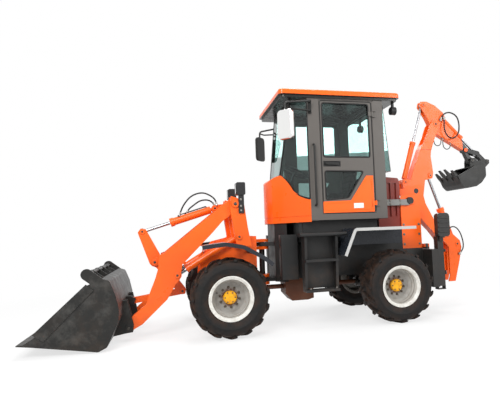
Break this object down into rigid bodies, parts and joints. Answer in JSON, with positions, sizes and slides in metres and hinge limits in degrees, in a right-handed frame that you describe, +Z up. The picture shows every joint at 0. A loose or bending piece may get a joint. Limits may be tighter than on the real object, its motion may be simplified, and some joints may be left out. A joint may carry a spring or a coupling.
{
  "type": "backhoe loader",
  "caption": "Articulated wheel backhoe loader with a glazed cab, a front loader bucket, a folded rear backhoe with a toothed bucket, and two folding stabilizers.",
  "frame": {"origin": "on the ground under the middle of the machine's length and width", "axes": "+X forward towards the loader bucket, +Y to the operator's left, +Z up"},
  "size_m": [6.488, 1.885, 3.155],
  "materials": {
    "orange_paint": "gloss",
    "cab_paint": "satin",
    "dark_paint": "satin",
    "rim_paint": "satin",
    "tyre": "matte",
    "rod_chrome": "polished",
    "glass": "clear",
    "black_plastic": "matte",
    "seat_fabric": "matte"
  },
  "bodies": {
    "rear_frame": {"rear_frame": "orange_paint", "engine_block": "dark_paint", "drive_line": "dark_paint", "rear_axle": "dark_paint", "rear_hood": "orange_paint", "rear_fenders": "orange_paint", "cab_steps": "dark_paint", "side_boxes": "orange_paint", "cab_body": "cab_paint", "cowl": "orange_paint", "roof": "orange_paint", "seat": "seat_fabric", "console": "black_plastic", "mirrors": "black_plastic", "lamps": "black_plastic", "backhoe_mount": "orange_paint", "cab_glass": "glass", "right_panel": "orange_paint"},
    "front_frame": {"front_frame": "orange_paint", "front_axle": "dark_paint", "front_fenders": "orange_paint", "headlights": "black_plastic"},
    "door": {"door": "orange_paint", "door_glass": "glass"},
    "wheel_front_left": {"wheel_front_left": "rim_paint", "tyre_front_left": "tyre"},
    "wheel_front_right": {"wheel_front_right": "rim_paint", "tyre_front_right": "tyre"},
    "wheel_rear_left": {"wheel_rear_left": "rim_paint", "tyre_rear_left": "tyre"},
    "wheel_rear_right": {"wheel_rear_right": "rim_paint", "tyre_rear_right": "tyre"},
    "loader_arms": {"loader_arms": "orange_paint"},
    "rocker": {"rocker": "orange_paint"},
    "bucket_link": {"bucket_link": "orange_paint"},
    "loader_bucket": {"loader_bucket": "dark_paint"},
    "tilt_barrel": {"tilt_barrel": "orange_paint"},
    "tilt_rod": {"tilt_rod": "rod_chrome"},
    "lift_barrels": {"lift_barrels": "orange_paint"},
    "lift_rods": {"lift_rods": "rod_chrome"},
    "swing_post": {"swing_post": "orange_paint"},
    "boom": {"boom": "orange_paint"},
    "dipper": {"dipper": "orange_paint"},
    "tipping_links": {"tipping_links": "dark_paint"},
    "push_link": {"push_link": "dark_paint"},
    "backhoe_bucket": {"backhoe_bucket": "dark_paint"},
    "boom_barrel": {"boom_barrel": "orange_paint"},
    "boom_rod": {"boom_rod": "rod_chrome"},
    "dipper_barrel": {"dipper_barrel": "orange_paint"},
    "dipper_rod": {"dipper_rod": "rod_chrome"},
    "bucket_barrel": {"bucket_barrel": "orange_paint"},
    "bucket_rod": {"bucket_rod": "rod_chrome"},
    "leg_left": {"leg_left": "dark_paint"},
    "leg_barrel_left": {"leg_barrel_left": "dark_paint"},
    "leg_rod_left": {"leg_rod_left": "rod_chrome"},
    "leg_right": {"leg_right": "dark_paint"},
    "leg_barrel_right": {"leg_barrel_right": "dark_paint"},
    "leg_rod_right": {"leg_rod_right": "rod_chrome"}
  },
  "joints": [
    {"name": "articulation", "type": "hinge", "parent": "rear_frame", "child": "front_frame", "pos_m": [0.464, 0, 0.83], "axis": [0, 0, 1], "range_deg": [-28, 28]},
    {"name": "wheel_front_left_spin", "type": "hinge", "parent": "front_frame", "child": "wheel_front_left", "pos_m": [1.013, 0.7485, 0.47], "axis": [0, 1, 0], "continuous": true},
    {"name": "wheel_front_right_spin", "type": "hinge", "parent": "front_frame", "child": "wheel_front_right", "pos_m": [1.013, -0.7485, 0.47], "axis": [0, 1, 0], "continuous": true},
    {"name": "wheel_rear_left_spin", "type": "hinge", "parent": "rear_frame", "child": "wheel_rear_left", "pos_m": [-1.156, 0.7485, 0.47], "axis": [0, 1, 0], "continuous": true},
    {"name": "wheel_rear_right_spin", "type": "hinge", "parent": "rear_frame", "child": "wheel_rear_right", "pos_m": [-1.156, -0.7485, 0.47], "axis": [0, 1, 0], "continuous": true},
    {"name": "lift", "type": "hinge", "parent": "front_frame", "child": "loader_arms", "pos_m": [0.874, 0, 1.6], "axis": [0, -1, 0], "range_deg": [0, 88]},
    {"name": "bucket_tilt", "type": "hinge", "parent": "loader_arms", "child": "loader_bucket", "pos_m": [2.184, 0, 0.15], "axis": [0, 1, 0], "range_deg": [-30, 133]},
    {"name": "rocker_swing", "type": "hinge", "parent": "loader_arms", "child": "rocker", "pos_m": [1.884, 0, 0.893], "axis": [0, 1, 0], "range_deg": [-42, 11]},
    {"name": "bucket_link_swing", "type": "hinge", "parent": "loader_bucket", "child": "bucket_link", "pos_m": [2.158, 0, 0.42], "axis": [0, 1, 0], "range_deg": [-122, 29]},
    {"name": "tilt_barrel_swing", "type": "hinge", "parent": "front_frame", "child": "tilt_barrel", "pos_m": [1.094, 0, 1.574], "axis": [0, -1, 0], "range_deg": [0, 104]},
    {"name": "tilt_rod_slide", "type": "slide", "parent": "tilt_barrel", "child": "tilt_rod", "axis": [0.9576, 0, -0.2882], "range_m": [-0.33, 0.09]},
    {"name": "lift_barrels_swing", "type": "hinge", "parent": "front_frame", "child": "lift_barrels", "pos_m": [0.834, 0, 1.18], "axis": [0, -1, 0], "range_deg": [0, 84]},
    {"name": "lift_rods_slide", "type": "slide", "parent": "lift_barrels", "child": "lift_rods", "axis": [0.8669, 0, -0.4984], "range_m": [0, 0.6]},
    {"name": "door", "type": "hinge", "parent": "rear_frame", "child": "door", "pos_m": [-0.98, 0.674, 2.18], "axis": [0, 0, 1], "range_deg": [0, 95]},
    {"name": "swing", "type": "hinge", "parent": "rear_frame", "child": "swing_post", "pos_m": [-2.341, 0, 0.68], "axis": [0, 0, 1], "range_deg": [-80, 80]},
    {"name": "boom_swing", "type": "hinge", "parent": "swing_post", "child": "boom", "pos_m": [-2.331, 0, 1.055], "axis": [0, -1, 0], "range_deg": [0, 110]},
    {"name": "boom_barrel_swing", "type": "hinge", "parent": "swing_post", "child": "boom_barrel", "pos_m": [-2.556, 0, 0.94], "axis": [0, -1, 0], "range_deg": [0, 112]},
    {"name": "boom_rod_slide", "type": "slide", "parent": "boom_barrel", "child": "boom_rod", "axis": [0.3385, 0, 0.941], "range_m": [-0.43, 0]},
    {"name": "dipper_swing", "type": "hinge", "parent": "boom", "child": "dipper", "pos_m": [-2.326, 0, 2.8], "axis": [0, 1, 0], "range_deg": [0, 95]},
    {"name": "dipper_barrel_swing", "type": "hinge", "parent": "boom", "child": "dipper_barrel", "pos_m": [-1.756, 0, 1.9], "axis": [0, -1, 0], "range_deg": [-1.5, 1]},
    {"name": "dipper_rod_slide", "type": "slide", "parent": "dipper_barrel", "child": "dipper_rod", "axis": [-0.3043, 0, 0.9526], "range_m": [-0.53, 0]},
    {"name": "backhoe_bucket_tilt", "type": "hinge", "parent": "dipper", "child": "backhoe_bucket", "pos_m": [-2.943, 0, 2.23], "axis": [0, 1, 0], "range_deg": [-5, 75]},
    {"name": "tipping_links_swing", "type": "hinge", "parent": "dipper", "child": "tipping_links", "pos_m": [-2.846, 0, 2.4], "axis": [0, 1, 0], "range_deg": [-7, 94]},
    {"name": "push_link_swing", "type": "hinge", "parent": "backhoe_bucket", "child": "push_link", "pos_m": [-3.206, 0, 2.215], "axis": [0, 1, 0], "range_deg": [-82, 7]},
    {"name": "bucket_barrel_swing", "type": "hinge", "parent": "dipper", "child": "bucket_barrel", "pos_m": [-2.466, 0, 2.925], "axis": [0, 1, 0], "range_deg": [-1, 12]},
    {"name": "bucket_rod_slide", "type": "slide", "parent": "bucket_barrel", "child": "bucket_rod", "axis": [-0.7191, 0, -0.6949], "range_m": [-0.31, 0.03]},
    {"name": "leg_left_swing", "type": "hinge", "parent": "rear_frame", "child": "leg_left", "pos_m": [-1.971, 0.51, 0.43], "axis": [-1, 0, 0], "range_deg": [0, 105]},
    {"name": "leg_barrel_left_swing", "type": "hinge", "parent": "rear_frame", "child": "leg_barrel_left", "pos_m": [-1.971, 0.18, 0.935], "axis": [-1, 0, 0], "range_deg": [0, 1.5]},
    {"name": "leg_rod_left_slide", "type": "slide", "parent": "leg_barrel_left", "child": "leg_rod_left", "axis": [0, 0.7404, -0.6721], "range_m": [0, 0.32]},
    {"name": "leg_right_swing", "type": "hinge", "parent": "rear_frame", "child": "leg_right", "pos_m": [-1.971, -0.51, 0.43], "axis": [1, 0, 0], "range_deg": [0, 105]},
    {"name": "leg_barrel_right_swing", "type": "hinge", "parent": "rear_frame", "child": "leg_barrel_right", "pos_m": [-1.971, -0.18, 0.935], "axis": [1, 0, 0], "range_deg": [0, 1.5]},
    {"name": "leg_rod_right_slide", "type": "slide", "parent": "leg_barrel_right", "child": "leg_rod_right", "axis": [0, -0.7404, -0.6721], "range_m": [0, 0.32]}
  ],
  "couplings": [
    {"joint": "rocker_swing", "follows": "bucket_tilt", "ratio": -0.3},
    {"joint": "bucket_link_swing", "follows": "bucket_tilt", "ratio": -0.9},
    {"joint": "tilt_barrel_swing", "follows": "lift", "ratio": 1.165},
    {"joint": "tilt_rod_slide", "follows": "bucket_tilt", "m_per_rad": -0.135},
    {"joint": "lift_barrels_swing", "follows": "lift", "ratio": 0.94},
    {"joint": "lift_rods_slide", "follows": "lift", "m_per_rad": 0.383},
    {"joint": "boom_barrel_swing", "follows": "boom_swing", "ratio": 0.99},
    {"joint": "boom_rod_slide", "follows": "boom_swing", "m_per_rad": -0.22},
    {"joint": "dipper_barrel_swing", "follows": "dipper_swing", "ratio": -0.01},
    {"joint": "dipper_rod_slide", "follows": "dipper_swing", "m_per_rad": -0.316},
    {"joint": "tipping_links_swing", "follows": "backhoe_bucket_tilt", "ratio": 1.23},
    {"joint": "push_link_swing", "follows": "backhoe_bucket_tilt", "ratio": -1.06},
    {"joint": "bucket_barrel_swing", "follows": "backhoe_bucket_tilt", "ratio": 0.14},
    {"joint": "bucket_rod_slide", "follows": "backhoe_bucket_tilt", "m_per_rad": -0.228},
    {"joint": "leg_barrel_left_swing", "follows": "leg_left_swing", "ratio": 0.01},
    {"joint": "leg_rod_left_slide", "follows": "leg_left_swing", "m_per_rad": 0.172},
    {"joint": "leg_barrel_right_swing", "follows": "leg_right_swing", "ratio": 0.01},
    {"joint": "leg_rod_right_slide", "follows": "leg_right_swing", "m_per_rad": 0.172}
  ]
}
